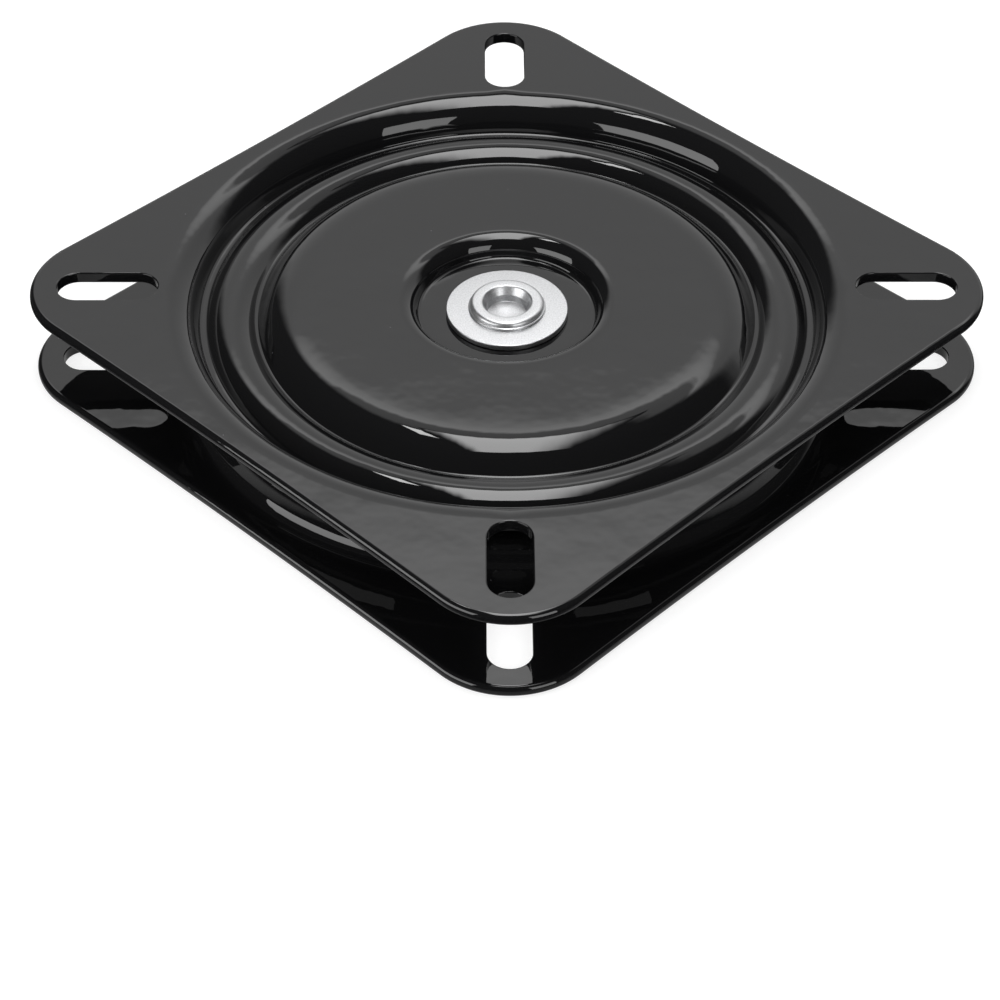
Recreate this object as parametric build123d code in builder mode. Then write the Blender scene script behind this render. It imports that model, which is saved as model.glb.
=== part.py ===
"""Square ball-bearing swivel mount: two pressed steel plates back to back, turning on a caged ring of balls
and held together by one hollow rivet. Millimetres, +Z up along the swivel axis, origin on the lower mounting
face. The plates' corners point along X and Y."""

import os
from math import floor, pi, radians, sin, tan

from build123d import *

os.makedirs("parts", exist_ok=True)

# Sheet and edges of the two plates
sheet = 3.0
edge_round = 1.0
corner_radius = 22.0
side_draw_in = 1.3
side_land = 4.6

# Bolt slots, one on each corner's diagonal
slot_length = 24.8
slot_width = 10.4
slot_land = 1.7

# Dish pressed into each plate
dish_depth = 8.25
dish_wall_angle = 72.0
rim_inside_bend = 4.5
crease_bend = 1.2
valley_land = 1.8
lip_gap = 2.5

# Raised disc in the dish and the recess in its middle
disc_rise = 5.1
disc_wall_angle = 58.0
disc_inside_bend = 5.5
recess_radius = 22.0
recess_wall_angle = 76.0
recess_inside_bend = 1.5

# Ball race and cage
ball_diameter = 8.0
ball_spacing = 0.85
ball_clearance = 0.12
pitch_radius = 67.8
race_flank_angle = 47.0
race_flat = 0.2
pocket_clearance = 0.15
cage_clearance = 0.3
cage_band = 1.2
finger_reach = 2.2

# Rivet, washers and spacer
rivet_diameter = 14.0
running_clearance = 0.08
stack_clearance = 0.1
washer_diameter = 30.0
washer_thickness = 1.5
washer_edge_bevel = 0.3
spacer_diameter = 32.0
head_diameter = 20.0
head_height = 2.4
head_round = 1.2
collar_diameter = 19.0
collar_height = 2.0
collar_round = 1.5
mouth_diameter = 12.2
mouth_round = 0.7
hollow_diameter = 10.0
hollow_depth = 4.0


def run_of(rise, angle):
    """Horizontal length of a wall that climbs by rise at an angle in degrees."""
    return rise / tan(radians(angle))


def bend_reach(radius, turn):
    """How far a bend of this radius, turning by an angle in degrees, reaches along each side of its corner."""
    return radius * tan(radians(turn / 2))


def bend_in_wall(inside, turn, rise):
    """Radius of a bend on its outer face, limited to what its wall leaves beside the crease at the foot."""
    room = rise / sin(radians(turn)) - 1.1 * bend_reach(crease_bend, turn)
    return min(inside + sheet, room / tan(radians(turn / 2)))


# Heights, from the lower mounting face up
overall_height = 2 * (dish_depth + sheet) + lip_gap
mid_plane = overall_height / 2
valley_height = overall_height - dish_depth
disc_height = valley_height + disc_rise
race_radius = ball_diameter / 2 + ball_clearance
crown_height = mid_plane + race_radius + sheet

# Radii of the pressing's corners, from the race outwards and inwards
crown_bend = race_radius + sheet
shoulder_offset = bend_reach(crown_bend, race_flank_angle) + race_flat / 2
foot_offset = shoulder_offset + run_of(crown_height - valley_height, race_flank_angle)
dish_foot_radius = pitch_radius + foot_offset + valley_land
rim_radius = dish_foot_radius + run_of(dish_depth, dish_wall_angle)
disc_foot_radius = pitch_radius - foot_offset - valley_land
disc_radius = disc_foot_radius - run_of(disc_rise, disc_wall_angle)
lip_radius = recess_radius + run_of(disc_rise, recess_wall_angle)

# Bends that their walls have room for
rim_bend = bend_in_wall(rim_inside_bend, dish_wall_angle, dish_depth)
disc_bend = bend_in_wall(disc_inside_bend, disc_wall_angle, disc_rise)
recess_bend = bend_in_wall(recess_inside_bend, recess_wall_angle, disc_rise)

# Outline and slots, set out from where the flange becomes flat
flange_radius = rim_radius + bend_reach(rim_bend, dish_wall_angle)
plate_width = 2 * (flange_radius + side_land + side_draw_in)
slot_circle_radius = flange_radius + slot_land + slot_length / 2
bore_radius = rivet_diameter / 2 + running_clearance

# Corners of the top plate's upper face, as radius and height, with the bend at each one between the ends
upper_corners = [
    (plate_width, overall_height),
    (rim_radius, overall_height),
    (dish_foot_radius, valley_height),
    (pitch_radius + foot_offset, valley_height),
    (pitch_radius + shoulder_offset, crown_height),
    (pitch_radius - shoulder_offset, crown_height),
    (pitch_radius - foot_offset, valley_height),
    (disc_foot_radius, valley_height),
    (disc_radius, disc_height),
    (lip_radius, disc_height),
    (recess_radius, valley_height),
    (bore_radius, valley_height),
]
upper_bends = [
    rim_bend,
    crease_bend,
    crease_bend,
    crown_bend,
    crown_bend,
    crease_bend,
    crease_bend,
    disc_bend,
    recess_bend,
    crease_bend,
]


def parallel_face(corners, bends):
    """The corners and bends of a face one sheet below another one, both drawn from the rim inwards."""
    points = [Vector(*corner) for corner in corners]
    runs = [(end - start).normalized() for start, end in zip(points, points[1:])]
    downs = [run.rotate(Axis.Z, 90) for run in runs]
    lowered = [points[0] + downs[0] * sheet]
    radii = []
    for index, bend in enumerate(bends):
        before, after = downs[index], downs[index + 1]
        lowered.append(points[index + 1] + (before + after) * (sheet / (1 + before.dot(after))))
        inside = runs[index].cross(runs[index + 1]).Z > 0
        radii.append(bend - sheet if inside else bend + sheet)
    lowered.append(points[-1] + downs[-1] * sheet)
    return lowered, radii


def save(builder, node):
    """Label a finished piece and write it to its own file."""
    builder.part.label = node
    export_step(builder.part, f"parts/{node}.step")


# Top plate: the pressed section turned round the axis, trimmed to the square blank, slotted, edges rounded
half_width = plate_width / 2
under_corners, under_bends = parallel_face(upper_corners, upper_bends)
side_plane = Plane((0, 0, 0), x_dir=(1, 1, 0), z_dir=(1, -1, 0))
with BuildPart() as top_plate:
    with BuildSketch(side_plane):
        with BuildLine():
            upper = FilletPolyline(*upper_corners, radius=upper_bends)
            under = FilletPolyline(*under_corners, radius=under_bends)
            Line(upper @ 0, under @ 0)
            Line(upper @ 1, under @ 1)
        make_face()
    revolve(axis=Axis.Z)
    with BuildSketch(Plane((0, 0, 0), x_dir=(1, 1, 0))) as blank:
        with BuildLine():
            corners = [
                (half_width, half_width),
                (-half_width, half_width),
                (-half_width, -half_width),
                (half_width, -half_width),
            ]
            for start, end in zip(corners, corners[1:] + corners[:1]):
                SagittaArc(start, end, side_draw_in)
        make_face()
        fillet(blank.vertices(), corner_radius)
    extrude(amount=overall_height, mode=Mode.INTERSECT)
    with BuildSketch(Plane.XY.offset(overall_height)):
        with PolarLocations(slot_circle_radius, 4):
            SlotOverall(slot_length, slot_width)
    extrude(amount=-2 * sheet, mode=Mode.SUBTRACT)
    flange_faces = top_plate.faces().filter_by(Plane.XY)
    for height in (overall_height, overall_height - sheet):
        face = flange_faces.filter_by_position(Axis.Z, height - 0.01, height + 0.01).sort_by(SortBy.AREA)[-1]
        fillet(face.outer_wire().edges(), edge_round)
save(top_plate, "top_plate")

# Bottom plate: the same pressing turned over
with BuildPart() as bottom_plate:
    mirror(top_plate.part, about=Plane.XY.offset(mid_plane))
save(bottom_plate, "bottom_plate")

# Bearing balls, in the race between the plates
ball_count = floor(2 * pi * pitch_radius / (ball_diameter + ball_spacing))
for number, place in enumerate(PolarLocations(pitch_radius, ball_count), start=1):
    with BuildPart(Plane.XY.offset(mid_plane)) as ball:
        with Locations(place):
            Sphere(ball_diameter / 2)
    save(ball, f"ball_{number:02d}")

# Ball cage: a flat ring inside the balls, with fingers that reach out between them
pocket_radius = ball_diameter / 2 + pocket_clearance
cage_thickness = lip_gap - 2 * cage_clearance
with BuildPart() as ball_cage:
    with BuildSketch(Plane.XY.offset(mid_plane - cage_thickness / 2)):
        Circle(pitch_radius + finger_reach)
        Circle(pitch_radius - pocket_radius - cage_band, mode=Mode.SUBTRACT)
        with PolarLocations(pitch_radius, ball_count):
            Circle(pocket_radius, mode=Mode.SUBTRACT)
    extrude(amount=cage_thickness)
save(ball_cage, "ball_cage")

# Levels of the centre stack
bottom_floor_under = dish_depth
bottom_floor_top = dish_depth + sheet
bottom_washer_under = bottom_floor_under - washer_thickness
top_washer_under = valley_height + stack_clearance
top_washer_top = top_washer_under + washer_thickness


def washer(under, thickness, diameter):
    """A plain ring round the rivet, with its outer edges broken."""
    with BuildPart() as ring:
        with BuildSketch(Plane.XY.offset(under)):
            Circle(diameter / 2)
            Circle(bore_radius, mode=Mode.SUBTRACT)
        extrude(amount=thickness)
        chamfer(ring.edges().group_by(SortBy.LENGTH)[-1], washer_edge_bevel)
    return ring


save(washer(bottom_washer_under, washer_thickness, washer_diameter), "bottom_washer")
save(washer(top_washer_under, washer_thickness, washer_diameter), "top_washer")
spacer_thickness = lip_gap - stack_clearance
save(washer(bottom_floor_top, spacer_thickness, spacer_diameter), "centre_spacer")

# Centre rivet: pan head below, shank through the stack, hollow end rolled out into a collar on the top washer
collar_top = top_washer_top + collar_height
head_under = bottom_washer_under - head_height
with BuildPart() as centre_rivet:
    with BuildSketch(Plane.XZ) as rivet_half:
        with BuildLine():
            Polyline(
                (0, head_under),
                (head_diameter / 2, head_under),
                (head_diameter / 2, bottom_washer_under),
                (rivet_diameter / 2, bottom_washer_under),
                (rivet_diameter / 2, top_washer_top),
                (collar_diameter / 2, top_washer_top),
                (collar_diameter / 2, collar_top),
                (mouth_diameter / 2, collar_top),
                (hollow_diameter / 2, top_washer_top),
                (hollow_diameter / 2, collar_top - hollow_depth),
                (0, collar_top - hollow_depth),
                close=True,
            )
        make_face()
        fillet(rivet_half.vertices().group_by(Axis.Y)[0].sort_by(Axis.X)[-1], head_round)
        fillet(rivet_half.vertices().group_by(Axis.Y)[-1].sort_by(Axis.X)[0], mouth_round)
        fillet(rivet_half.vertices().group_by(Axis.Y)[-1].sort_by(Axis.X)[-1], collar_round)
    revolve(axis=Axis.Z)
save(centre_rivet, "centre_rivet")
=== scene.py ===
"""Gloss-black ball-bearing swivel mount: two pressed plates, a caged ring of balls and one rivet.

Laid out as an add-on: property groups hold the sizes and finishes, one operator makes each piece
or group of like pieces, and one more sets the studio. Metres throughout, in the frame of the
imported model.
"""

import math
from functools import partial

import bmesh
import bpy
import numpy as np
from bpy.props import FloatProperty, FloatVectorProperty, IntProperty, PointerProperty
from bpy.types import Operator, Panel, PropertyGroup
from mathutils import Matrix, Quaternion, Vector
from mathutils.geometry import delaunay_2d_cdt


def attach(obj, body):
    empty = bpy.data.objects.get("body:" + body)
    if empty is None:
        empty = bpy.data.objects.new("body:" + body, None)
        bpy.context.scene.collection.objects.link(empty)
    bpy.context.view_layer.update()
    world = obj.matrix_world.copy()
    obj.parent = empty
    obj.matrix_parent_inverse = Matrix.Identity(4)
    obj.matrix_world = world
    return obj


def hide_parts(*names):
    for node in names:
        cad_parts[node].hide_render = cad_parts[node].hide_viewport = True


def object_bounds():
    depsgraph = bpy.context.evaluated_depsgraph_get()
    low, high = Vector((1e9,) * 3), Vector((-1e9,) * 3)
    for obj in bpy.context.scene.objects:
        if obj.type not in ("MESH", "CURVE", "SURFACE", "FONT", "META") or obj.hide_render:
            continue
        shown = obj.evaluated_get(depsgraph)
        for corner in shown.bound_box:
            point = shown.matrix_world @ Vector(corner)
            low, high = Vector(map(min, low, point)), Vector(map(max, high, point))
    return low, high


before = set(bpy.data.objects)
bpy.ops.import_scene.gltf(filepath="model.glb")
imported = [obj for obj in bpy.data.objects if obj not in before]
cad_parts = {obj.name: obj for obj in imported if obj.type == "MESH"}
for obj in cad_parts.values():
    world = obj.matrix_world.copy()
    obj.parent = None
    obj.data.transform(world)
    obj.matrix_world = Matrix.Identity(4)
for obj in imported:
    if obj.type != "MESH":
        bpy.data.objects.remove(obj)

bl_info = {
    "name": "Swivel Mount",
    "version": (1, 0, 0),
    "blender": (4, 5, 0),
    "location": "3D View > Sidebar > Swivel",
    "description": "Builds a ball-bearing swivel mount with pressed plates and its studio",
    "category": "Object",
}

MM = 0.001
LOW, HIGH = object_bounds()
MIDDLE_HEIGHT = (LOW.z + HIGH.z) / 2

# Fineness of the plates: rays round the axis, largest turn from ring to ring on the upper and the
# under face, longest stride between rings, samples along the pressing, rings of a rounded edge,
# and how near points of the flange count as one
NET_RAYS = 240
LARGEST_TURN = {1: math.radians(3), -1: math.radians(6)}
LONGEST_STRIDE = 2.5 * MM
LINE_SAMPLES = 4000
EDGE_RINGS = 7
CDT_REACH = 1e-9

# The pressing: flat ring outside the rim's bend, number of the disc's edge among the corners, flat
# by the recess's lip that isn't eased, and the turn of the rim's bend at which a slot's dent ends
NET_MARGIN = 1.2 * MM
DISC_EDGE = 7
LIP_MARGIN = 6 * MM
DENT_BEND = math.radians(34)

# Turned pieces: points round the axis, edges kept sharp, rounding in the rivet's hollow, and how
# high its flare ends, in flare heights
TURNED_POINTS = 160
SHARP_ANGLE = math.radians(28)
HOLLOW_FLOOR_ROUND = 0.25 * MM
FLARE_END = 1.3

# Balls and cage: fineness of a ball, of a finger's tip, a pocket's half and a rounded edge, how
# close copies are joined, and the circle for copies that are modelled in their place
BALL_SEGMENTS, BALL_RINGS = 40, 20
TIP_POINTS, POCKET_POINTS, CAGE_EDGE_RINGS = 5, 22, 4
WELD_REACH = 0.002 * MM
IN_PLACE = 0.001 * MM

# Shading: the range that noise keeps to, the refraction of paint and plastic, plain white
NOISE_SPAN = (0.3, 0.7)
COATING_IOR = 1.5
WHITE = (1.0, 1.0, 1.0, 1.0)

# Floor: size, gap under the mount, share of its colour that shows the shadow, and the distances and
# levels of its white to the camera, its brightness behind the mount and its glow beside it
FLOOR_REACH = 6.0
FLOOR_LEVEL = -0.05 * MM
SHADOW_SHARE = 0.45
FLOOR_WHITE = ((0.25, 1.2), (0.74, 1.0))
FLOOR_BEHIND = ((0.15, 1.2), (0.02, 1.0))
FLOOR_BESIDE = ((0.10, 0.14), (0.5, 0.0))

# Backdrop in reflections: the bearings where it fades in, its levels by height and its strength,
# then the level of the dim room round it, and of the fill that lights matt surfaces
BACKDROP_SIDES = ((-0.64, -0.38), (1.25, 0.95))
BACKDROP_LEVELS = (
    (0.0, 0.3), (0.55, 0.35), (0.60, 0.373), (0.642, 0.417), (0.673, 0.70),
    (0.69, 0.82), (0.735, 1.0), (0.765, 0.33), (0.86, 0.30), (0.90, 0.0),
)
BACKDROP_STRENGTH = 2.64
ROOM_LEVEL = 0.05
FILL_LEVEL = 0.48

# Overhead panel: its corners and height, and where it fades from dark to bright along an axis
PANEL_LOW, PANEL_HIGH, PANEL_HEIGHT = (-0.13, -0.22), (0.25, 0.37), 0.72
PANEL_FADES = (("X", -0.13, -0.07), ("X", 0.25, 0.05), ("Y", 0.37, 0.32))

# Softboxes: name, place, aim, width and length, power in watts
SOFTBOXES = (
    ("overhead_strip", (-0.165, 0.20, 0.72), (-0.165, 0.20, 0), (0.045, 0.15), 0.25),
    ("front_right_softbox", (0.511, -0.809, 0.325), (0, 0, 0.06), (0.44, 0.60), 2.75),
    ("front_left_softbox", (-0.80, -0.52, 0.305), (0, 0, 0.06), (0.80, 0.56), 5.4),
)

# Camera: the point it looks at, its sensor, and the nearest and farthest that it sees
CAMERA_TARGET = (-1.468 * MM, 0, -45.30 * MM)
SENSOR_WIDTH = 36.0
CLIP_START, CLIP_END = 0.01, 50


def length(name, description, millimetres):
    """A length property, given in millimetres and kept in metres."""
    return FloatProperty(name=name, description=description, default=millimetres * MM,
                         unit="LENGTH", precision=5)


def angle(name, description, degrees):
    """An angle property, given in degrees."""
    return FloatProperty(name=name, description=description, default=math.radians(degrees),
                         subtype="ANGLE")


def colour(name, description, value):
    """A colour property without alpha."""
    return FloatVectorProperty(name=name, description=description, default=value,
                               subtype="COLOR", min=0, max=1)


def share(name, description, value):
    """A plain factor from 0 to 1."""
    return FloatProperty(name=name, description=description, default=value,
                         subtype="FACTOR", min=0, max=1)


class SWIVEL_PG_plate(PropertyGroup):
    """Sizes of the pressed plates."""

    sheet: length("Sheet", "Thickness of the plate's sheet steel", 3.0)
    edge_round: length("Edge round", "Rounding of the plate's painted outer edge", 1.35)
    slot_round: length("Slot round", "Rounding that the paint gives the slots' edges", 0.35)
    corner_radius: length("Corner radius", "Radius of the plate's four corners", 22.1)
    side_draw_in: length("Side draw-in", "How far the pressing draws in each side's middle", 1.3)
    side_land: length("Side land", "Flat left beside the dish at the middle of a side", 4.6)
    slot_length: length("Slot length", "Overall length of a bolt slot", 24.8)
    slot_width: length("Slot width", "Width of a bolt slot", 10.4)
    slot_land: length("Slot land", "Flat left between the dish and a slot", 1.7)
    dish_depth: length("Dish depth", "Depth of the dish under the flange", 8.25)
    dish_wall: angle("Dish wall", "Slope of the dish's wall", 72)
    rim_bend: length("Rim bend", "Radius of the bend from flange to wall", 7.5)
    crease_bend: length("Crease bend", "Radius of the tight bends in the valleys", 0.8)
    valley_land: length("Valley land", "Flat between the dish's wall and the ball race", 1.8)
    disc_land: length("Disc land", "Flat between the ball race and the disc's wall", 0.75)
    lip_gap: length("Lip gap", "Gap between the two plates", 2.5)
    disc_rise: length("Disc rise", "Height of the disc over the valley", 5.1)
    disc_wall: angle("Disc wall", "Slope of the disc's wall", 44)
    disc_bend: length("Disc bend", "Radius of the disc's edge", 8.5)
    recess_radius: length("Recess radius", "Radius of the recess's floor", 22.0)
    recess_wall: angle("Recess wall", "Slope of the recess's wall", 76)
    recess_bend: length("Recess bend", "Radius of the recess's lip", 4.5)
    press_softness: length("Press softness", "Length over which each bend fades out", 0.3)
    slot_dent: length("Slot dent", "How far the rim's bend is drawn out at each slot", 1.1)
    dent_width: length("Dent width", "Half width of the bend's draw-out at a slot", 3.2)
    disc_softness: length("Disc softness", "Length over which the disc eases into its edge", 2.4)


class SWIVEL_PG_bearing(PropertyGroup):
    """Sizes of the ball race, its balls and their cage."""

    ball_count: IntProperty(name="Balls", description="Number of balls in the race",
                            default=48, min=3)
    ball_diameter: length("Ball diameter", "Diameter of a ball", 8.0)
    ball_clearance: length("Ball clearance", "Play of a ball in the race", 0.12)
    pitch_radius: length("Pitch radius", "Radius of the circle through the balls' centres", 67.8)
    race_flank: angle("Race flank", "Slope of the race's flanks", 47)
    race_flat: length("Race flat", "Flat on the crown over the balls", 0.2)
    pocket_clearance: length("Pocket clearance", "Play of a ball in the cage", 0.15)
    cage_clearance: length("Cage clearance", "Gap between the cage and each plate", 0.3)
    cage_band: length("Cage band", "Width of the cage's inner ring", 1.2)
    finger_reach: length("Finger reach", "How far the cage's fingers pass the pitch circle", 2.2)
    cage_round: length("Cage round", "Rounding of the cage's edges", 0.3)


class SWIVEL_PG_centre(PropertyGroup):
    """Sizes of the rivet and the rings on it."""

    rivet_diameter: length("Rivet diameter", "Diameter of the rivet's shank", 14.0)
    running_clearance: length("Running clearance", "Gap between rivet and what turns on it", 0.08)
    stack_clearance: length("Stack clearance", "Gap that lets the upper plate turn", 0.1)
    washer_diameter: length("Washer diameter", "Diameter of the two washers", 30.0)
    washer_thickness: length("Washer thickness", "Thickness of the two washers", 1.5)
    washer_edge: length("Washer edge", "Rounding of the washers' edges", 0.3)
    spacer_diameter: length("Spacer diameter", "Diameter of the slip ring between the plates", 32.0)
    head_diameter: length("Head diameter", "Diameter of the rivet's head", 20.0)
    head_height: length("Head height", "Height of the rivet's head", 2.4)
    head_round: length("Head round", "Rounding of the rivet's head", 1.2)
    collar_diameter: length("Collar diameter", "Diameter of the rolled collar", 19.0)
    collar_height: length("Collar height", "Height of the rolled collar", 2.0)
    collar_round: length("Collar round", "Rounding of the rolled collar", 1.5)
    flare_height: length("Flare height", "Height of the flare at the collar's foot", 0.55)
    flare_step: length("Flare step", "How far the collar stands back above its flare", 0.35)
    mouth_diameter: length("Mouth diameter", "Diameter of the rivet's hollow at its mouth", 12.2)
    mouth_round: length("Mouth round", "Rounding of the hollow's mouth", 0.7)
    hollow_diameter: length("Hollow diameter", "Diameter of the rivet's hollow", 10.0)
    hollow_depth: length("Hollow depth", "Depth of the rivet's hollow", 4.0)


class SWIVEL_PG_finish(PropertyGroup):
    """Colours and surface finishes."""

    paint: colour("Paint", "Stoved black paint of the plates", (0.0045, 0.0045, 0.0048))
    paint_roughness: share("Paint roughness", "Roughness that the paint varies round", 0.022)
    zinc: colour("Zinc", "Zinc plating of the rivet and washers", (0.66, 0.665, 0.675))
    ball_steel: colour("Ball steel", "Polished steel of the balls", (0.80, 0.80, 0.81))
    cage: colour("Cage", "Black nylon of the ball cage", (0.012, 0.012, 0.013))
    spacer: colour("Spacer", "Dark acetal of the slip ring", (0.03, 0.03, 0.032))


class SWIVEL_PG_stage(PropertyGroup):
    """Floor, lights and camera."""

    floor: colour("Floor", "Colour of the studio floor", (0.82, 0.82, 0.82))
    softbox_level: FloatProperty(name="Softbox level", default=7.8, min=0,
                                 description="Brightness of the overhead softbox")
    camera_elevation: angle("Camera elevation", "Height angle of the camera", 41.933)
    camera_azimuth: angle("Camera azimuth", "Angle of the camera round the mount", -0.512)
    camera_roll: angle("Camera roll", "Turn of the camera about its line of sight", 0.298)
    camera_distance: length("Camera distance", "Distance from the camera to its target", 834.7)
    lens: FloatProperty(name="Lens", description="Focal length of the camera", default=115.98,
                        unit="CAMERA")


def wire(tree, source, target):
    """Feed a socket from another socket, or with a plain number or colour."""
    if isinstance(source, (float, tuple)):
        target.default_value = source
    else:
        tree.links.new(source, target)


def node(tree, kind, **inputs):
    """A new node; keywords set its properties, or the inputs that they name."""
    made = tree.nodes.new(kind)
    for key, value in inputs.items():
        name = key.replace("_", " ").title()
        if hasattr(made, key):
            setattr(made, key, value)
        elif name in made.inputs:
            made.inputs[name].default_value = value
        else:
            raise KeyError(f"{kind} has no {key}")
    return made


def fed(tree, made, *sources):
    """Feed a node's first inputs in order, and give its first output."""
    for source, target in zip(sources, made.inputs):
        wire(tree, source, target)
    return made.outputs[0]


def shade(tree, kind, *sources):
    """What a new shader node puts out."""
    return fed(tree, tree.nodes.new(kind), *sources)


def maths(tree, operation, *terms):
    """The result of a maths node."""
    return fed(tree, node(tree, "ShaderNodeMath", operation=operation), *terms)


def mapped(tree, value, span, levels, interpolation="SMOOTHSTEP"):
    """A value mapped from a span to two levels, one at each end of it."""
    ramp = node(tree, "ShaderNodeMapRange", interpolation_type=interpolation)
    return fed(tree, ramp, value, *span, *levels)


def fade(tree, value, dark, bright):
    """A smooth change from 0 at one place to 1 at another, whichever of them is larger."""
    if dark < bright:
        return mapped(tree, value, (dark, bright), (0.0, 1.0))
    return mapped(tree, value, (bright, dark), (1.0, 0.0))


def coordinates(tree, kind):
    """A place on the surface or in the world, and its three axes."""
    place = tree.nodes.new("ShaderNodeTexCoord").outputs[kind]
    axes = tree.nodes.new("ShaderNodeSeparateXYZ")
    wire(tree, place, axes.inputs["Vector"])
    return place, axes.outputs


def shader_group(name, inputs, outputs):
    """A new shader node group with its two end nodes."""
    tree = bpy.data.node_groups.new(name, "ShaderNodeTree")
    for label, default in inputs.items():
        socket = tree.interface.new_socket(label, in_out="INPUT", socket_type="NodeSocketFloat")
        socket.default_value = default
    for label in outputs:
        tree.interface.new_socket(label, in_out="OUTPUT", socket_type="NodeSocketFloat")
    return tree, tree.nodes.new("NodeGroupInput"), tree.nodes.new("NodeGroupOutput")


def surface_grain(name):
    """Two scales of soft noise: a fine one for peel or grain, and a broad one for slow change."""
    scales = {"Fine": 900.0, "Broad": 40.0}
    tree, start, end = shader_group(name, scales, scales)
    place = tree.nodes.new("ShaderNodeTexCoord")
    for label, detail in (("Fine", 2.0), ("Broad", 3.0)):
        noise = node(tree, "ShaderNodeTexNoise", detail=detail, roughness=0.5)
        wire(tree, place.outputs["Object"], noise.inputs["Vector"])
        wire(tree, start.outputs[label], noise.inputs["Scale"])
        wire(tree, noise.outputs["Fac"], end.inputs[label])
    return tree


def fine_dust(name):
    """Scattered specks: a mask of small dots, few and uneven."""
    tree, start, end = shader_group(name, {"Scale": 260.0, "Size": 0.05, "Amount": 0.5}, ("Mask",))
    place = tree.nodes.new("ShaderNodeTexCoord")
    cells = node(tree, "ShaderNodeTexVoronoi", randomness=1.0)
    wire(tree, place.outputs["Object"], cells.inputs["Vector"])
    wire(tree, start.outputs["Scale"], cells.inputs["Scale"])
    inside = maths(tree, "LESS_THAN", cells.outputs["Distance"], start.outputs["Size"])
    pick = tree.nodes.new("ShaderNodeSeparateColor")
    wire(tree, cells.outputs["Color"], pick.inputs["Color"])
    chosen = maths(tree, "LESS_THAN", pick.outputs["Red"], start.outputs["Amount"])
    wire(tree, maths(tree, "MULTIPLY", inside, chosen), end.inputs["Mask"])
    return tree


EFFECTS = {"Surface Grain": surface_grain, "Fine Dust": fine_dust}


def use_effect(tree, name, **values):
    """Place a shared effect in a material, with its own values."""
    placed = tree.nodes.new("ShaderNodeGroup")
    placed.node_tree = bpy.data.node_groups.get(name) or EFFECTS[name](name)
    for key, value in values.items():
        placed.inputs[key.title()].default_value = value
    return placed.outputs


def bare_material(name):
    """A new material with only its output, whose surface socket is given."""
    material = bpy.data.materials.new(name)
    material.use_nodes = True
    tree = material.node_tree
    tree.nodes.clear()
    out = tree.nodes.new("ShaderNodeOutputMaterial")
    return material, tree, out.inputs["Surface"]


def finish_shader(name, roughness, metallic=0.0):
    """A new material with only its output and a principled shader."""
    material, tree, surface = bare_material(name)
    shader = tree.nodes.new("ShaderNodeBsdfPrincipled")
    for key, value in (("Roughness", roughness), ("Metallic", metallic), ("IOR", COATING_IOR)):
        shader.inputs[key].default_value = value
    wire(tree, shader.outputs["BSDF"], surface)
    return material, tree, shader.inputs


def shaded(base, factor):
    """A colour made darker or lighter."""
    return tuple(min(1.0, factor * channel) for channel in base)


def tone(tree, mask, dark, light, shader):
    """Colour the shader from one colour to another by a mask."""
    mix = node(tree, "ShaderNodeMix", data_type="RGBA")
    colours = [socket for socket in mix.inputs if socket.type == "RGBA"]
    for value, socket in zip((dark, light), colours):
        socket.default_value = (*value, 1)
    wire(tree, mask, mix.inputs["Factor"])
    mixed = next(socket for socket in mix.outputs if socket.type == "RGBA")
    wire(tree, mixed, shader["Base Color"])


def spread(tree, value, low, high):
    """Map a noise value, which keeps near its middle, to a range."""
    return mapped(tree, value, NOISE_SPAN, (low, high), "LINEAR")


def relief(tree, height, shader, distance, strength):
    """Raise the surface by a height map, on top of any relief that it already has."""
    bump = node(tree, "ShaderNodeBump", strength=strength, distance=distance)
    wire(tree, height, bump.inputs["Height"])
    for link in shader["Normal"].links:
        wire(tree, link.from_socket, bump.inputs["Normal"])
    wire(tree, bump.outputs["Normal"], shader["Normal"])


def black_paint(look):
    """Stoved gloss black: faint orange peel, slightly uneven gloss and a few specks of dust."""
    gloss = look.paint_roughness
    material, tree, shader = finish_shader("gloss_black_paint", gloss)
    grain = use_effect(tree, "Surface Grain", fine=420.0, broad=55.0)
    specks = use_effect(tree, "Fine Dust", scale=210.0, size=0.035, amount=0.16)
    tone(tree, specks["Mask"], look.paint, shaded(look.paint, factor=14), shader)
    wire(tree, spread(tree, grain["Broad"], 0.8 * gloss, 1.35 * gloss), shader["Roughness"])
    relief(tree, grain["Fine"], shader, distance=0.05 * MM, strength=0.02)
    relief(tree, grain["Broad"], shader, distance=0.2 * MM, strength=0.8)
    return material


def zinc_plate(look):
    """Bright zinc plating with a fine crystalline speckle."""
    material, tree, shader = finish_shader("bright_zinc", roughness=0.3, metallic=1.0)
    grain = use_effect(tree, "Surface Grain", fine=3000.0, broad=260.0)
    speckle = spread(tree, grain["Fine"], 0.0, 1.0)
    tone(tree, speckle, shaded(look.zinc, factor=0.72), look.zinc, shader)
    wire(tree, spread(tree, grain["Broad"], 0.34, 0.44), shader["Roughness"])
    relief(tree, grain["Fine"], shader, distance=0.03 * MM, strength=0.3)
    return material


def ball_steel(look):
    """Polished bearing steel with a thin smear of grease."""
    material, tree, shader = finish_shader("polished_steel", roughness=0.07, metallic=1.0)
    grain = use_effect(tree, "Surface Grain", fine=1800.0, broad=160.0)
    smear = spread(tree, grain["Broad"], 0.0, 1.0)
    tone(tree, smear, shaded(look.ball_steel, factor=0.8), look.ball_steel, shader)
    wire(tree, spread(tree, grain["Broad"], 0.12, 0.05), shader["Roughness"])
    relief(tree, grain["Fine"], shader, distance=0.01 * MM, strength=0.05)
    return material


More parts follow.
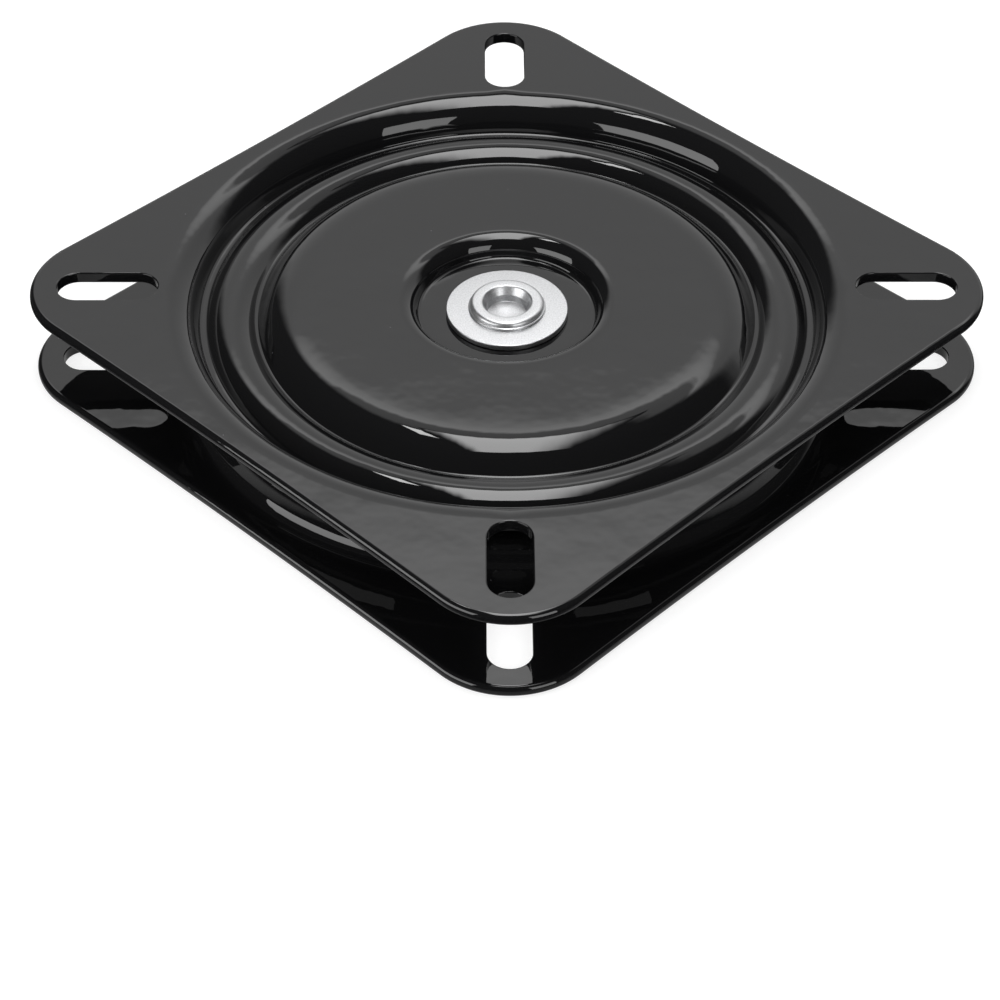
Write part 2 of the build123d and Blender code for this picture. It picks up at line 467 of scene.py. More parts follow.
def moulded(name, base, roughness):
    """Moulded plastic with a fine matt grain."""
    material, tree, shader = finish_shader(name, roughness)
    grain = use_effect(tree, "Surface Grain", fine=2400.0, broad=120.0)
    cloud = spread(tree, grain["Broad"], 0.0, 1.0)
    tone(tree, cloud, shaded(base, factor=0.75), base, shader)
    uneven = spread(tree, grain["Fine"], 0.85 * roughness, 1.15 * roughness)
    wire(tree, uneven, shader["Roughness"])
    relief(tree, grain["Fine"], shader, distance=0.03 * MM, strength=0.3)
    return material


def in_scene(name, data):
    """A new object in the scene."""
    made = bpy.data.objects.new(name, data)
    bpy.context.scene.collection.objects.link(made)
    return made


def smooth(mesh):
    """Shade all of a mesh's faces smooth."""
    mesh.polygons.foreach_set("use_smooth", [True] * len(mesh.polygons))


class Skin:
    """Vertices with their own normals, and faces, gathered into one mesh."""

    def __init__(self):
        self.points, self.normals, self.faces = [], [], []
        self.count = 0

    def add(self, points, normals):
        """Store a run of vertices and give their numbers."""
        first = self.count
        self.points.append(np.asarray(points, float))
        self.normals.append(np.asarray(normals, float))
        self.count += len(points)
        return np.arange(first, self.count)

    def join(self, rings):
        """Join each closed ring to the next one, of the same count."""
        for one, other in zip(rings, rings[1:]):
            for face in zip(one, np.roll(one, -1), np.roll(other, -1), other):
                self.faces.append(tuple(int(number) for number in face))

    def turn_over(self, top):
        """Turn the piece upside down between the floor and its top."""
        for points, normals in zip(self.points, self.normals):
            points[:, 2] = top - points[:, 2]
            normals[:, 2] = -normals[:, 2]

    def made(self, name, material):
        """The finished object, with all its faces turned outward."""
        mesh = bpy.data.meshes.new(name)
        mesh.from_pydata(np.concatenate(self.points).tolist(), [], self.faces)
        shell = bmesh.new()
        shell.from_mesh(mesh)
        bmesh.ops.recalc_face_normals(shell, faces=shell.faces)
        shell.to_mesh(mesh)
        shell.free()
        smooth(mesh)
        mesh.normals_split_custom_set_from_vertices(np.concatenate(self.normals).tolist())
        mesh.materials.append(material)
        return in_scene(name, mesh)


def run_of(rise, slope):
    """Horizontal length of a wall that climbs by rise at a slope."""
    return rise / math.tan(slope)


def pressing_corners(plate, race):
    """Corners of the upper face (radius, height, bend), start of the flat, top and valley."""
    depth = plate.dish_depth
    top = 2 * (depth + plate.sheet) + plate.lip_gap
    valley, middle = top - depth, top / 2
    disc = valley + plate.disc_rise
    groove = race.ball_diameter / 2 + race.ball_clearance
    crown = middle + groove + plate.sheet
    crown_bend = groove + plate.sheet
    shoulder = crown_bend * math.tan(race.race_flank / 2) + race.race_flat / 2
    foot = shoulder + run_of(crown - valley, race.race_flank)
    dish_foot = race.pitch_radius + foot + plate.valley_land
    rim = dish_foot + run_of(depth, plate.dish_wall)
    disc_foot = race.pitch_radius - foot - plate.disc_land
    disc_edge = disc_foot - run_of(plate.disc_rise, plate.disc_wall)
    lip = plate.recess_radius + run_of(plate.disc_rise, plate.recess_wall)
    corners = [
        (rim, top, plate.rim_bend),
        (dish_foot, valley, plate.crease_bend),
        (race.pitch_radius + foot, valley, plate.crease_bend),
        (race.pitch_radius + shoulder, crown, crown_bend),
        (race.pitch_radius - shoulder, crown, crown_bend),
        (race.pitch_radius - foot, valley, plate.crease_bend),
        (disc_foot, valley, plate.crease_bend),
        (disc_edge, disc, plate.disc_bend),
        (lip, disc, plate.recess_bend),
        (plate.recess_radius, valley, plate.crease_bend),
    ]
    flat = rim + plate.rim_bend * math.tan(plate.dish_wall / 2)
    return corners, flat, top, valley


def softened(values, width):
    """Values along a line, blurred over a width counted in samples."""
    reach = int(4 * width)
    kernel = np.exp(-0.5 * (np.arange(-reach, reach + 1) / width) ** 2)
    return np.convolve(np.pad(values, reach, mode="edge"), kernel / kernel.sum(), mode="valid")


def pressing_line(plate, race, bore, largest_turn):
    """Radius, height and heading along the upper face, from the flange in to the bore."""
    corners, flat, top, valley = pressing_corners(plate, race)
    bends = [bend for _, _, bend in corners]
    points = [(flat + NET_MARGIN, top), *[corner[:2] for corner in corners], (bore, valley)]
    runs = np.diff(points, axis=0)
    lengths = np.hypot(runs[:, 0], runs[:, 1])
    headings = np.unwrap(np.arctan2(runs[:, 1], runs[:, 0]) % (2 * math.pi))
    turns = np.diff(headings)
    reach = [0.0, *[abs(b * math.tan(t / 2)) for b, t in zip(bends, turns)], 0.0]

    # Where each straight and each bend ends along the line, and the heading there
    along, heading = [0.0], [headings[0]]
    for index, run in enumerate(lengths):
        along.append(along[-1] + run - reach[index] - reach[index + 1])
        heading.append(headings[index])
        if index < len(turns):
            along.append(along[-1] + bends[index] * abs(turns[index]))
            heading.append(headings[index + 1])

    # The heading in fine steps, softened in all bends and more in the upper half of the disc's edge
    fine = np.linspace(0, along[-1], LINE_SAMPLES)
    pitch = fine[1]
    sharp = np.interp(fine, along, heading)
    eased = softened(sharp, plate.disc_softness / pitch)
    edge_start, edge_end, lip_start = along[2 * DISC_EDGE + 1:2 * DISC_EDGE + 4]
    on_disc = (fine > edge_start + 0.5 * (edge_end - edge_start)) & (fine < lip_start - LIP_MARGIN)
    theta = np.where(on_disc, eased, softened(sharp, plate.press_softness / pitch))

    # The line that follows that heading, with what it misses the bore by spread over its length
    middle = (theta[1:] + theta[:-1]) / 2
    radius = points[0][0] + np.concatenate([[0], np.cumsum(np.cos(middle) * pitch)])
    height = top + np.concatenate([[0], np.cumsum(np.sin(middle) * pitch)])
    share_done = fine / fine[-1]
    radius += share_done * (bore - radius[-1])
    height += share_done * (valley - height[-1])
    keep = [0]
    for index in range(1, len(fine)):
        swung = abs(theta[index] - theta[keep[-1]])
        stride = fine[index] - fine[keep[-1]]
        if swung >= largest_turn or stride >= LONGEST_STRIDE or index == len(fine) - 1:
            keep.append(index)
    return radius[keep], height[keep], theta[keep]


def turned_by(flat_points, turn):
    """Flat points turned about the axis."""
    spin = [[math.cos(turn), -math.sin(turn)], [math.sin(turn), math.cos(turn)]]
    return flat_points @ np.transpose(spin)


def on_arc(angles):
    """Unit vectors at angles."""
    return np.stack([np.cos(angles), np.sin(angles)], axis=1)


def plate_outline(plate, flat, inset, count=48):
    """Points and outward normals round the plate, corners on the axes, moved in by an inset."""
    half = flat + plate.side_land + plate.side_draw_in
    sag, fillet = plate.side_draw_in, plate.corner_radius
    side_radius = (half ** 2 + sag ** 2) / (2 * sag)
    away = half - sag + side_radius
    centre = (away - math.sqrt(2 * (side_radius + fillet) ** 2 - away ** 2)) / 2
    touch = math.atan2(centre, away - centre)
    points, normals = [], []
    for quarter in range(4):
        turn = quarter * math.pi / 2 + math.pi / 4
        side = np.linspace(touch, -touch, count, endpoint=False)
        side_out = np.stack([-np.sin(side), np.cos(side)], axis=1)
        line = [0, away] - (side_radius + inset) * side_out
        bend = np.linspace(math.pi / 2 + touch, math.pi - touch, count, endpoint=False)
        corner = [-centre, centre] + (fillet - inset) * on_arc(bend)
        points.append(turned_by(np.concatenate([line, corner]), turn))
        normals.append(turned_by(np.concatenate([side_out, on_arc(bend)]), turn))
    return np.concatenate(points), np.concatenate(normals)


def slot_outline(plate, flat, quarter, grow, count=20):
    """Points and outward normals round one slot, grown by an amount."""
    middle = flat + plate.slot_land + plate.slot_length / 2
    straight = (plate.slot_length - plate.slot_width) / 2
    out = on_arc(np.linspace(-math.pi / 2, math.pi / 2, count))
    radius = plate.slot_width / 2 + grow
    far, near = out * radius + [middle + straight, 0], -out * radius + [middle - straight, 0]
    points, normals = np.concatenate([far, near]), np.concatenate([out, -out])
    turn = quarter * math.pi / 2
    return turned_by(points, turn), turned_by(normals, turn)


def on_level(flat_points, height):
    """Flat points or directions, all given one height."""
    return np.column_stack([flat_points, np.full(len(flat_points), height)])


def rounded_edge(skin, outline, top, sheet, round_off, inwards):
    """A rounded sheet edge; gives its rings on the upper and the under face, by side."""
    rings = []
    bend = np.linspace(0, math.pi / 2, EDGE_RINGS)
    for tilt, side in [(tilt, 1) for tilt in bend] + [(tilt, -1) for tilt in bend[::-1]]:
        flat_points, out = outline(round_off * (1 - math.sin(tilt)))
        out = -out if inwards else out
        face = top if side > 0 else top - sheet
        height = face - side * round_off * (1 - math.cos(tilt))
        normals = on_level(out * math.sin(tilt), side * math.cos(tilt))
        rings.append(skin.add(on_level(flat_points, height), normals))
    skin.join(rings)
    return {1: rings[0], -1: rings[-1]}


def dented(plate, around, radius, bent, flat):
    """How far a ring's points move out where the rim's bend is drawn towards the slots."""
    if radius < flat - plate.rim_bend:
        return np.zeros(len(around))
    aside = radius * np.abs((around + math.pi / 4) % (math.pi / 2) - math.pi / 4)
    in_bend = max(0.0, 1 - abs(bent) / DENT_BEND)
    to_edge = min(1.0, max(0.0, (flat + NET_MARGIN - radius) / NET_MARGIN))
    return plate.slot_dent * in_bend * to_edge * np.exp(-(aside / plate.dent_width) ** 2)


def pressed_face(skin, plate, race, bore, side):
    """The polar net of the upper face, or of the under face for side -1; gives its end rings."""
    flat = pressing_corners(plate, race)[1]
    radius, height, theta = pressing_line(plate, race, bore, LARGEST_TURN[side])
    lift = np.stack([np.sin(theta), -np.cos(theta)], axis=1)
    if side < 0:
        radius = radius - plate.sheet * lift[:, 0]
        height = height - plate.sheet * lift[:, 1]
    around = np.linspace(0, 2 * math.pi, NET_RAYS, endpoint=False)
    rays = on_arc(around)
    rings = []
    for r, z, (out, up), slope in zip(radius, height, side * lift, theta):
        drawn = r + dented(plate, around, r, slope - theta[0], flat)
        rings.append(skin.add(on_level(rays * drawn[:, None], z), on_level(rays * out, up)))
    skin.join(rings)
    return rings[0], rings[-1]


def within(spot, ring):
    """Whether a point lies inside a closed ring of points."""
    x, y = spot
    a, b = ring, np.roll(ring, -1, axis=0)
    crosses = (a[:, 1] > y) != (b[:, 1] > y)
    rise = np.where(crosses, b[:, 1] - a[:, 1], 1.0)
    at = a[:, 0] + (y - a[:, 1]) * (b[:, 0] - a[:, 0]) / rise
    return np.count_nonzero(crosses & (x < at)) % 2 == 1


def flange_faces(skin, net_rim, outline, slots):
    """Fill the flat flange between the net's rim, the plate's outline and the slots."""
    places = np.concatenate(skin.points)[:, :2]
    loops = [net_rim, outline, *slots]
    numbers = np.concatenate(loops)
    borders, first = [], 0
    for loop in loops:
        borders += [(first + i, first + (i + 1) % len(loop)) for i in range(len(loop))]
        first += len(loop)
    flat_places = [Vector(place) for place in places[numbers]]
    corners, _, faces, sources, _, _ = delaunay_2d_cdt(flat_places, borders, [], 0, CDT_REACH)
    for face in faces:
        spot = np.mean([corners[i] for i in face], axis=0)
        hole = any(within(spot, places[loop]) for loop in (net_rim, *slots))
        if within(spot, places[outline]) and not hole:
            skin.faces.append(tuple(int(numbers[sources[i][0]]) for i in face))


def pressed_plate(name, turned_over, paint):
    """One plate: the pressing, the flat flange round it and all its rounded edges."""
    scene = bpy.context.scene
    plate, race, centre = scene.swivel_plate, scene.swivel_bearing, scene.swivel_centre
    _, flat, top, _ = pressing_corners(plate, race)
    bore = centre.rivet_diameter / 2 + centre.running_clearance
    skin = Skin()
    ends = {side: pressed_face(skin, plate, race, bore, side) for side in (1, -1)}
    skin.join([ends[1][1], ends[-1][1]])
    outline = partial(plate_outline, plate, flat)
    rim = rounded_edge(skin, outline, top, plate.sheet, plate.edge_round, False)
    slots = []
    for quarter in range(4):
        outline = partial(slot_outline, plate, flat, quarter)
        slots.append(rounded_edge(skin, outline, top, plate.sheet, plate.slot_round, True))
    for side in (1, -1):
        flange_faces(skin, ends[side][0], rim[side], [slot[side] for slot in slots])
    if turned_over:
        skin.turn_over(top)
    return skin.made(name, paint)


def round_corner(before, corner, after, radius, count=8):
    """Points of a rounded corner between two straight sides."""
    before, corner, after = (np.array(p, float) for p in (before, corner, after))
    one = (before - corner) / np.linalg.norm(before - corner)
    two = (after - corner) / np.linalg.norm(after - corner)
    half = math.acos(max(-1.0, min(1.0, float(one @ two)))) / 2
    middle = one + two
    centre = corner + middle / np.linalg.norm(middle) * radius / math.sin(half)
    start = corner + one * radius / math.tan(half) - centre
    side = 1 if one[0] * two[1] - one[1] * two[0] < 0 else -1
    turns = np.linspace(0, side * (math.pi - 2 * half), count)
    return [tuple(centre + turned_by(start, turn)) for turn in turns]


def turned(name, section, material):
    """A closed section of (radius, height, rounding) turned round the axis into a ring or plug."""
    line = []
    for index, (r, z, rounding) in enumerate(section):
        if rounding > 0:
            before, after = section[index - 1][:2], section[(index + 1) % len(section)][:2]
            line += round_corner(before, (r, z), after, rounding)
        else:
            line.append((r, z))
    points, rings = [], []
    for r, z in line:
        first = len(points)
        if r <= 0:
            points.append((0, 0, z))
            rings.append([first] * TURNED_POINTS)
            continue
        for index in range(TURNED_POINTS):
            turn = 2 * math.pi * index / TURNED_POINTS
            points.append((r * math.cos(turn), r * math.sin(turn), z))
        rings.append(list(range(first, first + TURNED_POINTS)))
    faces = []
    for one, other in zip(rings, rings[1:] + rings[:1]):
        if one[0] == one[1] and other[0] == other[1]:
            continue
        for i in range(TURNED_POINTS):
            j = (i + 1) % TURNED_POINTS
            faces.append(tuple(dict.fromkeys((one[i], one[j], other[j], other[i]))))
    mesh = bpy.data.meshes.new(name)
    mesh.from_pydata(points, [], faces)
    smooth(mesh)
    mesh.set_sharp_from_angle(angle=SHARP_ANGLE)
    mesh.materials.append(material)
    return in_scene(name, mesh)


def geometry_tree(name, inputs):
    """A geometry node tree with named inputs and one geometry output."""
    tree = bpy.data.node_groups.new(name, "GeometryNodeTree")
    for label, kind in inputs.items():
        tree.interface.new_socket(label, in_out="INPUT", socket_type=f"NodeSocket{kind}")
    tree.interface.new_socket("Geometry", in_out="OUTPUT", socket_type="NodeSocketGeometry")
    return tree, tree.nodes.new("NodeGroupInput"), tree.nodes.new("NodeGroupOutput")


def ring_tree(name, make_item, inputs):
    """A tree that sets copies of one item round a circle, each turned to face outwards."""
    tree, start, end = geometry_tree(name, {
        "Count": "Int",
        "Pitch Radius": "Float",
        "Height": "Float",
        "Finish": "Material",
        **inputs,
    })
    circle = tree.nodes.new("GeometryNodeMeshCircle")
    wire(tree, start.outputs["Count"], circle.inputs["Vertices"])
    wire(tree, start.outputs["Pitch Radius"], circle.inputs["Radius"])
    lift = tree.nodes.new("ShaderNodeCombineXYZ")
    wire(tree, start.outputs["Height"], lift.inputs["Z"])
    move = tree.nodes.new("GeometryNodeSetPosition")
    wire(tree, circle.outputs["Mesh"], move.inputs["Geometry"])
    wire(tree, lift.outputs["Vector"], move.inputs["Offset"])
    place = tree.nodes.new("GeometryNodeInputPosition")
    axes = tree.nodes.new("ShaderNodeSeparateXYZ")
    wire(tree, place.outputs["Position"], axes.inputs["Vector"])
    turn = tree.nodes.new("ShaderNodeCombineXYZ")
    bearing = maths(tree, "ARCTAN2", axes.outputs["Y"], axes.outputs["X"])
    wire(tree, bearing, turn.inputs["Z"])
    copies = tree.nodes.new("GeometryNodeInstanceOnPoints")
    wire(tree, move.outputs["Geometry"], copies.inputs["Points"])
    wire(tree, make_item(tree, start), copies.inputs["Instance"])
    wire(tree, turn.outputs["Vector"], copies.inputs["Rotation"])
    real = tree.nodes.new("GeometryNodeRealizeInstances")
    wire(tree, copies.outputs["Instances"], real.inputs["Geometry"])
    weld = node(tree, "GeometryNodeMergeByDistance", distance=WELD_REACH)
    wire(tree, real.outputs["Geometry"], weld.inputs["Geometry"])
    dress = tree.nodes.new("GeometryNodeSetMaterial")
    wire(tree, weld.outputs["Geometry"], dress.inputs["Geometry"])
    wire(tree, start.outputs["Finish"], dress.inputs["Material"])
    wire(tree, dress.outputs["Geometry"], end.inputs["Geometry"])
    return tree


def grown(name, tree, values):
    """Evaluate a tree on an empty mesh and keep the result as a plain object."""
    piece = in_scene(name, bpy.data.meshes.new(name))
    modifier = piece.modifiers.new(tree.name, "NODES")
    modifier.node_group = tree
    for item in tree.interface.items_tree:
        if item.item_type == "SOCKET" and item.in_out == "INPUT":
            modifier[item.identifier] = values[item.name]
    bpy.context.view_layer.update()
    graph = bpy.context.evaluated_depsgraph_get()
    mesh = bpy.data.meshes.new_from_object(piece.evaluated_get(graph))
    piece.modifiers.clear()
    piece.data = mesh
    mesh.name = name
    smooth(mesh)
    return piece


def ball_item(tree, start):
    """One ball."""
    ball = tree.nodes.new("GeometryNodeMeshUVSphere")
    ball.inputs["Segments"].default_value = BALL_SEGMENTS
    ball.inputs["Rings"].default_value = BALL_RINGS
    wire(tree, start.outputs["Ball Radius"], ball.inputs["Radius"])
    return ball.outputs["Mesh"]


def cage_item(tree, start):
    """One pitch of the cage, read from its own object."""
    info = tree.nodes.new("GeometryNodeObjectInfo")
    wire(tree, start.outputs["Segment"], info.inputs["Object"])
    return info.outputs["Geometry"]


def cage_outline(race):
    """The comb's outer and inner line, from the middle of one finger to the middle of the next."""
    pitch, half = race.pitch_radius, math.pi / race.ball_count
    pocket = race.ball_diameter / 2 + race.pocket_clearance
    inner = pitch - pocket - race.cage_band
    outer = pitch + race.finger_reach
    mouth = math.acos((pitch ** 2 + outer ** 2 - pocket ** 2) / (2 * pitch * outer))
    tip = np.linspace(-half, -mouth, TIP_POINTS)
    start = math.atan2(-outer * math.sin(mouth), outer * math.cos(mouth) - pitch)
    hollow = np.linspace(start % (2 * math.pi), math.pi, POCKET_POINTS, endpoint=False)[1:]
    lower = np.concatenate([outer * on_arc(tip), [pitch, 0] + pocket * on_arc(hollow)])
    front = np.concatenate([lower, [(pitch - pocket, 0.0)], lower[::-1] * [1, -1]])
    back = inner * on_arc(np.linspace(-half, half, len(front)))
    return front, back


def unit(vectors):
    """Vectors brought to a length of 1."""
    return vectors / np.linalg.norm(vectors, axis=-1)[..., None]


def cage_mesh(race, thickness):
    """One pitch of the comb as an open shell whose two cut ends meet the neighbours'."""
    front, back = cage_outline(race)
    soft = race.cage_round
    along = np.gradient(front, axis=0)
    inward = unit(np.stack([-along[:, 1], along[:, 0]], axis=1))
    inward *= np.sign((inward * (back - front)).sum(axis=1))[:, None]
    inward[0], inward[-1] = -unit(front[0]), -unit(front[-1])
    rows = []
    for line, direction in ((front, inward), (back, unit(back))):
        edge = []
        for tilt in np.linspace(0, math.pi / 2, CAGE_EDGE_RINGS):
            flat_points = line + direction * soft * (1 - math.sin(tilt))
            edge.append((flat_points, thickness / 2 - soft * (1 - math.cos(tilt))))
        edge += [(flat_points, -height) for flat_points, height in edge[::-1]]
        rows.append(edge)
    loop = rows[0] + rows[1][::-1]
    points = np.concatenate([on_level(flat_points, height) for flat_points, height in loop])
    count = len(front)
    faces = []
    for index in range(len(loop)):
        here, there = index * count, (index + 1) % len(loop) * count
        for i in range(count - 1):
            faces.append((here + i, there + i, there + i + 1, here + i + 1))
    mesh = bpy.data.meshes.new("cage_segment")
    mesh.from_pydata(points.tolist(), [], faces)
    return mesh


class SWIVEL_OT_plates(Operator):
    """Press the two plates and paint them"""

    bl_idname = "swivel.plates"
    bl_label = "Pressed Plates"

    def execute(self, context):
        paint = black_paint(context.scene.swivel_finish)
        top = pressed_plate("pressed_top_plate", False, paint)
        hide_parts("top_plate")
        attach(top, "turntable")
        bottom = pressed_plate("pressed_bottom_plate", True, paint)
        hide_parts("bottom_plate")
        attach(bottom, "base")
        return {"FINISHED"}


class SWIVEL_OT_balls(Operator):
    """Set the balls round the race"""

    bl_idname = "swivel.balls"
    bl_label = "Bearing Balls"

    def execute(self, context):
        race = context.scene.swivel_bearing
        tree = ring_tree("Ball Ring", ball_item, {"Ball Radius": "Float"})
        balls = grown("bearing_balls", tree, {
            "Count": race.ball_count,
            "Pitch Radius": race.pitch_radius,
            "Height": MIDDLE_HEIGHT,
            "Finish": ball_steel(context.scene.swivel_finish),
            "Ball Radius": race.ball_diameter / 2,
        })
        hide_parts(*[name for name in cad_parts
                             if name.startswith("ball_") and name != "ball_cage"])
        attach(balls, "ball_ring")
        return {"FINISHED"}


class SWIVEL_OT_cage(Operator):
    """Mould the comb that keeps the balls apart"""

    bl_idname = "swivel.cage"
    bl_label = "Ball Cage"

    def execute(self, context):
        race, plate = context.scene.swivel_bearing, context.scene.swivel_plate
        look = context.scene.swivel_finish
        thickness = plate.lip_gap - 2 * race.cage_clearance
        segment = in_scene("cage_segment", cage_mesh(race, thickness))
        tree = ring_tree("Cage Ring", cage_item, {"Segment": "Object"})
        cage = grown("comb_cage", tree, {
            "Count": race.ball_count,
            "Pitch Radius": IN_PLACE,
            "Height": MIDDLE_HEIGHT,
            "Finish": moulded("black_nylon", look.cage, roughness=0.45),
            "Segment": segment,
        })
        bpy.data.objects.remove(segment)
        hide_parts("ball_cage")
        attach(cage, "ball_ring")
        return {"FINISHED"}


class SWIVEL_OT_centre(Operator):
    """Turn the rivet, its two washers and the slip ring"""

    bl_idname = "swivel.centre"
    bl_label = "Rivet and Washers"

    def execute(self, context):
        plate, centre = context.scene.swivel_plate, context.scene.swivel_centre
        look = context.scene.swivel_finish
        zinc, acetal = zinc_plate(look), moulded("dark_acetal", look.spacer, roughness=0.5)
        shank, edge = centre.rivet_diameter / 2, centre.washer_edge
        bore = shank + centre.running_clearance
        low_floor, high_floor = plate.dish_depth, plate.dish_depth + plate.sheet
        top = 2 * high_floor + plate.lip_gap
        under_low = low_floor - centre.washer_thickness
        under_high = top - plate.dish_depth + centre.stack_clearance
        over_high = under_high + centre.washer_thickness
        slip_top = high_floor + plate.lip_gap - centre.stack_clearance

        def ring(name, low, high, diameter, material):
            outer = diameter / 2
            section = [(bore, low, 0), (outer, low, edge), (outer, high, edge), (bore, high, 0)]
            return turned(name, section, material)

        low_washer = ring("zinc_bottom_washer", under_low, low_floor, centre.washer_diameter, zinc)
        high_washer = ring("zinc_top_washer", under_high, over_high, centre.washer_diameter, zinc)
        slip = ring("slip_ring", high_floor, slip_top, centre.spacer_diameter, acetal)
        head, mouth = centre.head_diameter / 2, centre.mouth_diameter / 2
        collar, hollow = centre.collar_diameter / 2, centre.hollow_diameter / 2
        stepped = collar - centre.flare_step
        head_under, collar_top = under_low - centre.head_height, over_high + centre.collar_height
        hollow_floor = collar_top - centre.hollow_depth
        rivet = turned("hollow_rivet", [
            (0, head_under, 0),
            (head, head_under, centre.head_round),
            (head, under_low, 0),
            (shank, under_low, 0),
            (shank, over_high, 0),
            (collar, over_high, 0),
            (collar, over_high + centre.flare_height, edge),
            (stepped, over_high + FLARE_END * centre.flare_height, 0),
            (stepped, collar_top, centre.collar_round - centre.flare_step),
            (mouth, collar_top, centre.mouth_round),
            (hollow, over_high, 0),
            (hollow, hollow_floor, HOLLOW_FLOOR_ROUND),
            (0, hollow_floor, 0),
        ], zinc)
        for piece, name, slot in (
            (low_washer, "bottom_washer", "zinc_plate"),
            (high_washer, "top_washer", "zinc_plate"),
            (slip, "centre_spacer", "spacer_acetal"),
            (rivet, "centre_rivet", "zinc_plate"),
        ):
            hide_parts(name)
            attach(piece, "base")
        return {"FINISHED"}


def flat_sheet(name, low, high, height, material, facing_up):
    """A level rectangle between two corners."""
    (x0, y0), (x1, y1) = low, high
    corners = [(x0, y0, height), (x1, y0, height), (x1, y1, height), (x0, y1, height)]
    mesh = bpy.data.meshes.new(name)
    mesh.from_pydata(corners if facing_up else corners[::-1], [], [(0, 1, 2, 3)])
    mesh.materials.append(material)
    return in_scene(name, mesh)


def floor_material(stage):
    """Pale floor, white to the camera with the shadow kept; in reflections dim, but for a glow
    under the mount and brightness far behind it."""
    material, tree, surface = bare_material("studio_floor")
    path = tree.nodes.new("ShaderNodeLightPath").outputs
    place, axes = coordinates(tree, "Object")
    length_of = node(tree, "ShaderNodeVectorMath", operation="LENGTH")
    wire(tree, place, length_of.inputs[0])
    away = length_of.outputs["Value"]
    plain = shade(tree, "ShaderNodeBsdfDiffuse", (*stage.floor, 1))
    faint = shade(tree, "ShaderNodeBsdfDiffuse", (*shaded(stage.floor, SHADOW_SHARE), 1))
    white = shade(tree, "ShaderNodeEmission", WHITE, mapped(tree, away, *FLOOR_WHITE))
    shown = shade(tree, "ShaderNodeAddShader", faint, white)
    behind = mapped(tree, axes["Y"], *FLOOR_BEHIND)
    beside = mapped(tree, away, *FLOOR_BESIDE)
    bounced = maths(tree, "ADD", behind, beside)
    mirrored = shade(tree, "ShaderNodeEmission", WHITE, bounced)
    by_gloss = shade(tree, "ShaderNodeMixShader", path["Is Glossy Ray"], plain, mirrored)
    by_camera = shade(tree, "ShaderNodeMixShader", path["Is Camera Ray"], by_gloss, shown)
    under = tree.nodes.new("ShaderNodeNewGeometry").outputs["Backfacing"]
    clear = shade(tree, "ShaderNodeBsdfTransparent")
    wire(tree, shade(tree, "ShaderNodeMixShader", under, by_camera, clear), surface)
    return material


def studio_world():
    """White to the camera, an even fill, and in reflections a bright backdrop and a dim room."""
    world = bpy.data.worlds.new("studio")
    bpy.context.scene.world = world
    world.use_nodes = True
    tree = world.node_tree
    tree.nodes.clear()
    out = tree.nodes.new("ShaderNodeOutputWorld")
    path = tree.nodes.new("ShaderNodeLightPath").outputs
    _, axes = coordinates(tree, "Generated")
    bearing = maths(tree, "ARCTAN2", axes["X"], axes["Y"])
    left, right = (fade(tree, bearing, dark, bright) for dark, bright in BACKDROP_SIDES)
    behind = maths(tree, "MULTIPLY", left, right)
    upward = tree.nodes.new("ShaderNodeValToRGB")
    stops = upward.color_ramp.elements
    stops[1].position = BACKDROP_LEVELS[-1][0]
    for position, _ in BACKDROP_LEVELS[1:-1]:
        stops.new(position)
    for stop, (_, level) in zip(stops, BACKDROP_LEVELS):
        stop.color = (level, level, level, 1)
    wire(tree, axes["Z"], upward.inputs["Fac"])
    backdrop = maths(tree, "MULTIPLY", behind, upward.outputs["Color"])
    mirrored = maths(tree, "MULTIPLY_ADD", backdrop, BACKDROP_STRENGTH, ROOM_LEVEL)
    room = shade(tree, "ShaderNodeBackground", WHITE, mirrored)
    fill = shade(tree, "ShaderNodeBackground", WHITE, FILL_LEVEL)
    white = shade(tree, "ShaderNodeBackground", WHITE, 1.0)
    by_gloss = shade(tree, "ShaderNodeMixShader", path["Is Glossy Ray"], fill, room)
    by_camera = shade(tree, "ShaderNodeMixShader", path["Is Camera Ray"], by_gloss, white)
    wire(tree, by_camera, out.inputs["Surface"])


def softbox(name, place, aim, size, power):
    """A rectangular softbox aimed at a point."""
    lamp = bpy.data.lights.new(name, "AREA")
    lamp.shape = "RECTANGLE"
    lamp.size, lamp.size_y = size
    lamp.energy = power
    light = in_scene(name, lamp)
    light.location = place
    light.rotation_mode = "QUATERNION"
    light.rotation_quaternion = (Vector(aim) - Vector(place)).to_track_quat("-Z", "Y")
    light.visible_camera = False


def overhead_panel(stage):
    """The large softbox overhead: a glowing sheet that fades towards its sides and its far edge."""
    material, tree, surface = bare_material("overhead_panel")
    _, axes = coordinates(tree, "Object")
    level = stage.softbox_level
    for axis, dark, bright in PANEL_FADES:
        level = maths(tree, "MULTIPLY", fade(tree, axes[axis], dark, bright), level)
    wire(tree, shade(tree, "ShaderNodeEmission", WHITE, level), surface)
    panel = flat_sheet("overhead_panel", PANEL_LOW, PANEL_HIGH, PANEL_HEIGHT, material, False)
    panel.visible_camera = False
    return panel


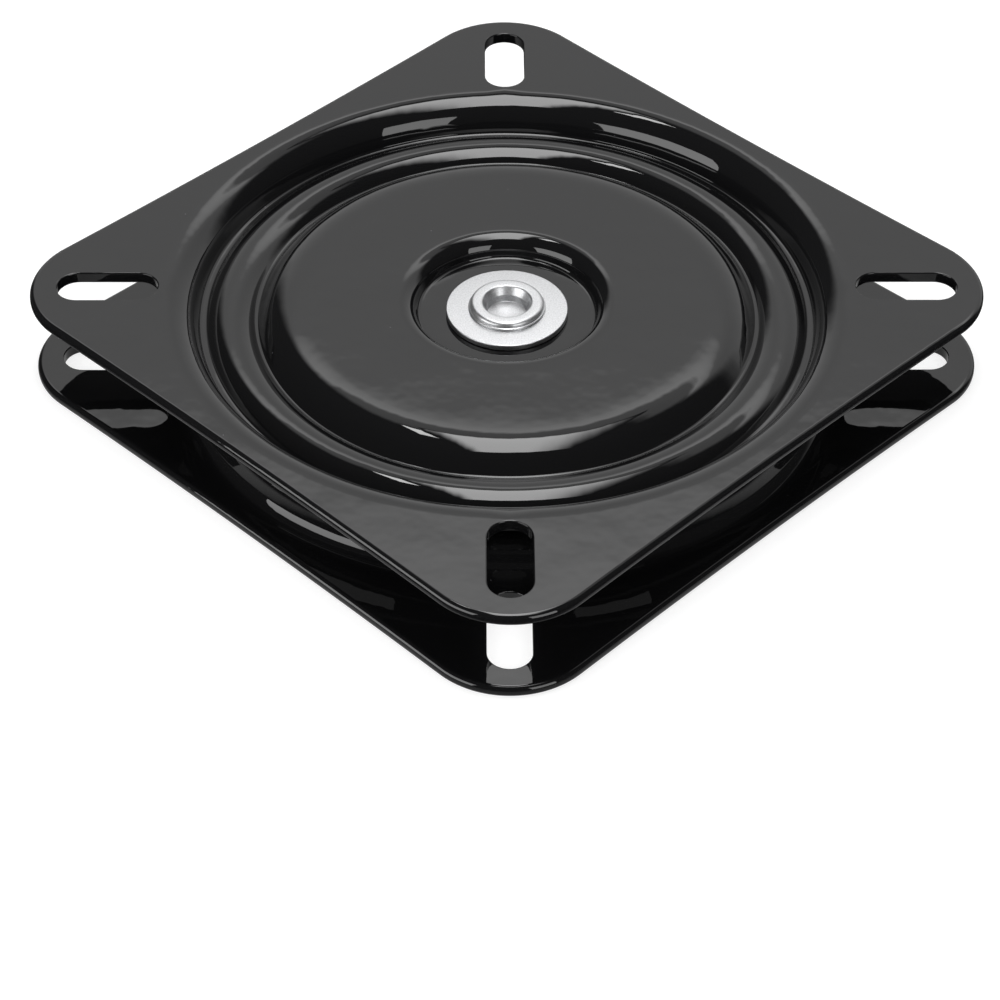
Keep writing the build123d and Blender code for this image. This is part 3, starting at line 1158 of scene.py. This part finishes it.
def photo_camera(stage):
    """The camera at the photograph's viewing angle."""
    lens = bpy.data.cameras.new("photo_camera")
    lens.sensor_width, lens.lens = SENSOR_WIDTH, stage.lens
    lens.clip_start, lens.clip_end = CLIP_START, CLIP_END
    camera = in_scene("photo_camera", lens)
    rise, swing = stage.camera_elevation, stage.camera_azimuth
    level = math.cos(rise)
    back = Vector((math.sin(swing) * level, -math.cos(swing) * level, math.sin(rise)))
    roll = Quaternion((0, 0, 1), stage.camera_roll)
    camera.location = Vector(CAMERA_TARGET) + back * stage.camera_distance
    camera.rotation_mode = "QUATERNION"
    camera.rotation_quaternion = (-back).to_track_quat("-Z", "Y") @ roll
    return camera


class SWIVEL_OT_stage(Operator):
    """Lay the floor and set the lights and the camera"""

    bl_idname = "swivel.stage"
    bl_label = "Studio"

    def execute(self, context):
        stage = context.scene.swivel_stage
        floor = flat_sheet("studio_floor", (-FLOOR_REACH, -FLOOR_REACH), (FLOOR_REACH, FLOOR_REACH),
                           FLOOR_LEVEL, floor_material(stage), True)
        studio_world()
        overhead_panel(stage)
        for lamp in SOFTBOXES:
            softbox(*lamp)
        context.scene.camera = photo_camera(stage)
        context.scene.view_settings.view_transform = "Standard"
        return {"FINISHED"}


class SWIVEL_PT_panel(Panel):
    """The mount's sizes and the operators that make it"""

    bl_idname = "SWIVEL_PT_panel"
    bl_label = "Swivel Mount"
    bl_space_type = "VIEW_3D"
    bl_region_type = "UI"
    bl_category = "Swivel"

    def draw(self, context):
        for operator in OPERATORS:
            self.layout.operator(operator.bl_idname)
        for key, group in GROUPS.items():
            box = self.layout.box()
            for name in group.__annotations__:
                box.prop(getattr(context.scene, key), name)


GROUPS = {
    "swivel_plate": SWIVEL_PG_plate,
    "swivel_bearing": SWIVEL_PG_bearing,
    "swivel_centre": SWIVEL_PG_centre,
    "swivel_finish": SWIVEL_PG_finish,
    "swivel_stage": SWIVEL_PG_stage,
}
OPERATORS = (SWIVEL_OT_plates, SWIVEL_OT_balls, SWIVEL_OT_cage, SWIVEL_OT_centre, SWIVEL_OT_stage)
CLASSES = (*GROUPS.values(), *OPERATORS, SWIVEL_PT_panel)


def register():
    for cls in CLASSES:
        bpy.utils.register_class(cls)
    for key, group in GROUPS.items():
        setattr(bpy.types.Scene, key, PointerProperty(type=group))


def unregister():
    for key in GROUPS:
        delattr(bpy.types.Scene, key)
    for cls in reversed(CLASSES):
        bpy.utils.unregister_class(cls)


def main():
    register()
    bpy.ops.swivel.plates()
    bpy.ops.swivel.balls()
    bpy.ops.swivel.cage()
    bpy.ops.swivel.centre()
    bpy.ops.swivel.stage()


if __name__ == "__main__":
    main()
